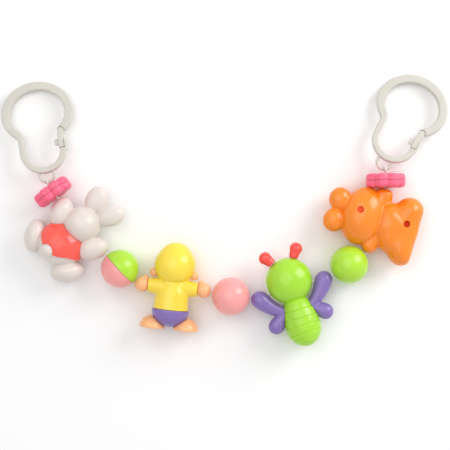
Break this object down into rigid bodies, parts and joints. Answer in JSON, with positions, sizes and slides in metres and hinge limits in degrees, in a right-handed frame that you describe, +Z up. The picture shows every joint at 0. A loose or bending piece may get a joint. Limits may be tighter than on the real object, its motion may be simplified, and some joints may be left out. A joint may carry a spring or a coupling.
{
  "type": "pram chain toy",
  "caption": "Baby's pram chain: bead figures, balls and lobed discs on an elastic cord between gated hook clips, lying face down.",
  "frame": {"origin": "middle of the bounding box of the toy as it lies, on the floor under it", "axes": "+X from the left clip to the right clip, +Y towards the clips, +Z up out of the floor, which the figures' backs face"},
  "size_m": [0.3564, 0.2166, 0.03],
  "materials": {
    "left": "glossy",
    "right": "glossy",
    "clip_white": "satin",
    "disc_pink": "glossy",
    "rabbit_white": "glossy",
    "vest_red": "glossy",
    "ball_green": "glossy",
    "ball_pink": "glossy",
    "hood_yellow": "glossy",
    "skin": "glossy",
    "purple": "glossy",
    "bug_green": "glossy",
    "face_cream": "glossy",
    "feeler_red": "glossy",
    "bear_orange": "glossy",
    "cord_clear": "clear elastic"
  },
  "bodies": {
    "cord_middle": {"cord_05_pink_ball": "cord_clear"},
    "cord_in_left_disc": {"cord_01_left_disc": "cord_clear"},
    "cord_in_rabbit": {"cord_02_rabbit": "cord_clear"},
    "cord_in_two_tone_ball": {"cord_03_two_tone_ball": "cord_clear"},
    "cord_in_child": {"cord_04_child": "cord_clear"},
    "cord_in_bug": {"cord_06_bug": "cord_clear"},
    "cord_in_green_ball": {"cord_07_green_ball": "cord_clear"},
    "cord_in_bear": {"cord_08_bear": "cord_clear"},
    "cord_in_right_disc": {"cord_09_right_disc": "cord_clear"},
    "left_disc": {"left_disc_outer_half": "disc_pink", "left_disc_inner_half": "disc_pink"},
    "rabbit": {"rabbit_back_shell": "rabbit_white", "rabbit_front_shell": "rabbit_white", "rabbit_back_vest": "vest_red", "rabbit_front_vest": "vest_red"},
    "two_tone_ball": {"two_tone_ball_green_half": "ball_green", "two_tone_ball_pink_half": "ball_pink"},
    "child": {"child_back_shell": "hood_yellow", "child_front_shell": "hood_yellow", "child_face": "skin", "child_left_hand": "skin", "child_right_hand": "skin", "child_pants": "purple", "child_left_foot": "skin", "child_right_foot": "skin"},
    "pink_ball": {"pink_ball_back_half": "ball_pink", "pink_ball_front_half": "ball_pink"},
    "bug": {"bug_back_shell": "bug_green", "bug_front_shell": "bug_green", "bug_face": "face_cream", "bug_left_wing": "purple", "bug_right_wing": "purple", "bug_left_feeler": "feeler_red", "bug_right_feeler": "feeler_red"},
    "green_ball": {"green_ball_back_half": "ball_green", "green_ball_front_half": "ball_green"},
    "bear": {"bear_back_shell": "bear_orange", "bear_front_shell": "bear_orange"},
    "right_disc": {"right_disc_outer_half": "disc_pink", "right_disc_inner_half": "disc_pink"},
    "cord_left_end": {"cord_left_loop": "cord_clear"},
    "left_clip": {"left_clip_frame": "clip_white"},
    "left_gate": {"left_clip_gate": "clip_white"},
    "cord_right_end": {"cord_right_loop": "cord_clear"},
    "right_clip": {"right_clip_frame": "clip_white"},
    "right_gate": {"right_clip_gate": "clip_white"}
  },
  "joints": [
    {"name": "bug_bend", "type": "hinge", "parent": "cord_middle", "child": "cord_in_bug", "pos_m": [0.02006, -0.07272, 0.015], "axis": [0, 0, 1], "range_deg": [-60, 0]},
    {"name": "green_ball_bend", "type": "hinge", "parent": "cord_in_bug", "child": "cord_in_green_ball", "pos_m": [0.08567, -0.05203, 0.015], "axis": [0, 0, 1], "range_deg": [-42, 8]},
    {"name": "bear_bend", "type": "hinge", "parent": "cord_in_green_ball", "child": "cord_in_bear", "pos_m": [0.11207, -0.03521, 0.015], "axis": [0, 0, 1], "range_deg": [-60, 0]},
    {"name": "right_disc_bend", "type": "hinge", "parent": "cord_in_bear", "child": "cord_in_right_disc", "pos_m": [0.12746, 0.01676, 0.015], "axis": [0, 0, 1], "range_deg": [-26, 0]},
    {"name": "right_loop_bend", "type": "hinge", "parent": "cord_in_right_disc", "child": "cord_right_end", "pos_m": [0.12746, 0.02846, 0.015], "axis": [0, 0, 1], "range_deg": [-20, 26]},
    {"name": "child_bend", "type": "hinge", "parent": "cord_middle", "child": "cord_in_child", "pos_m": [-0.00996, -0.06495, 0.015], "axis": [0, 0, 1], "range_deg": [-34, 28]},
    {"name": "two_tone_ball_bend", "type": "hinge", "parent": "cord_in_child", "child": "cord_in_two_tone_ball", "pos_m": [-0.07201, -0.05843, 0.015], "axis": [0, 0, 1], "range_deg": [-4, 60]},
    {"name": "rabbit_bend", "type": "hinge", "parent": "cord_in_two_tone_ball", "child": "cord_in_rabbit", "pos_m": [-0.09329, -0.03561, 0.015], "axis": [0, 0, 1], "range_deg": [-24, 28]},
    {"name": "left_disc_bend", "type": "hinge", "parent": "cord_in_rabbit", "child": "cord_in_left_disc", "pos_m": [-0.13207, 0.00899, 0.015], "axis": [0, 0, 1], "range_deg": [-12, 18]},
    {"name": "left_loop_bend", "type": "hinge", "parent": "cord_in_left_disc", "child": "cord_left_end", "pos_m": [-0.13911, 0.01833, 0.015], "axis": [0, 0, 1], "range_deg": [-6, 54]},
    {"name": "left_disc_spin", "type": "hinge", "parent": "cord_in_left_disc", "child": "left_disc", "pos_m": [-0.13571, 0.01382, 0.015], "axis": [0.6018, -0.7986, 0], "continuous": true},
    {"name": "rabbit_spin", "type": "hinge", "parent": "cord_in_rabbit", "child": "rabbit", "pos_m": [-0.11265, -0.01335, 0.015], "axis": [0.6561, -0.7547, 0], "continuous": true},
    {"name": "two_tone_ball_spin", "type": "hinge", "parent": "cord_in_two_tone_ball", "child": "two_tone_ball", "pos_m": [-0.08272, -0.04695, 0.015], "axis": [0.682, -0.7314, 0], "continuous": true},
    {"name": "child_spin", "type": "hinge", "parent": "cord_in_child", "child": "child", "pos_m": [-0.04089, -0.0617, 0.015], "axis": [0.9945, -0.1045, 0], "continuous": true},
    {"name": "pink_ball_spin", "type": "hinge", "parent": "cord_middle", "child": "pink_ball", "pos_m": [0.00505, -0.06884, 0.015], "axis": [0.9681, -0.2504, 0], "continuous": true},
    {"name": "bug_spin", "type": "hinge", "parent": "cord_in_bug", "child": "bug", "pos_m": [0.05286, -0.06237, 0.015], "axis": [0.9537, 0.3007, 0], "continuous": true},
    {"name": "green_ball_spin", "type": "hinge", "parent": "cord_in_green_ball", "child": "green_ball", "pos_m": [0.09874, -0.0437, 0.015], "axis": [0.8434, 0.5373, 0], "continuous": true},
    {"name": "bear_spin", "type": "hinge", "parent": "cord_in_bear", "child": "bear", "pos_m": [0.11979, -0.00913, 0.015], "axis": [0.284, 0.9588, 0], "continuous": true},
    {"name": "right_disc_spin", "type": "hinge", "parent": "cord_in_right_disc", "child": "right_disc", "pos_m": [0.12746, 0.02281, 0.015], "axis": [0, 1, 0], "continuous": true},
    {"name": "left_clip_swing", "type": "hinge", "parent": "cord_left_end", "child": "left_clip", "pos_m": [-0.13965, 0.02143, 0.015], "axis": [0.9848, 0.1736, 0], "range_deg": [-40, 40]},
    {"name": "left_gate_hinge", "type": "hinge", "parent": "left_clip", "child": "left_gate", "pos_m": [-0.13032, 0.06294, 0.00906], "axis": [-0.026, 0.1475, 0.9887], "range_deg": [-35, 0]},
    {"name": "right_clip_swing", "type": "hinge", "parent": "cord_right_end", "child": "right_clip", "pos_m": [0.12713, 0.03159, 0.015], "axis": [0.9945, 0.1045, 0], "range_deg": [-40, 32]},
    {"name": "right_gate_hinge", "type": "hinge", "parent": "right_clip", "child": "right_gate", "pos_m": [0.15662, 0.05976, 0.01084], "axis": [-0.0172, 0.1636, 0.9864], "range_deg": [-35, 0]}
  ]
}
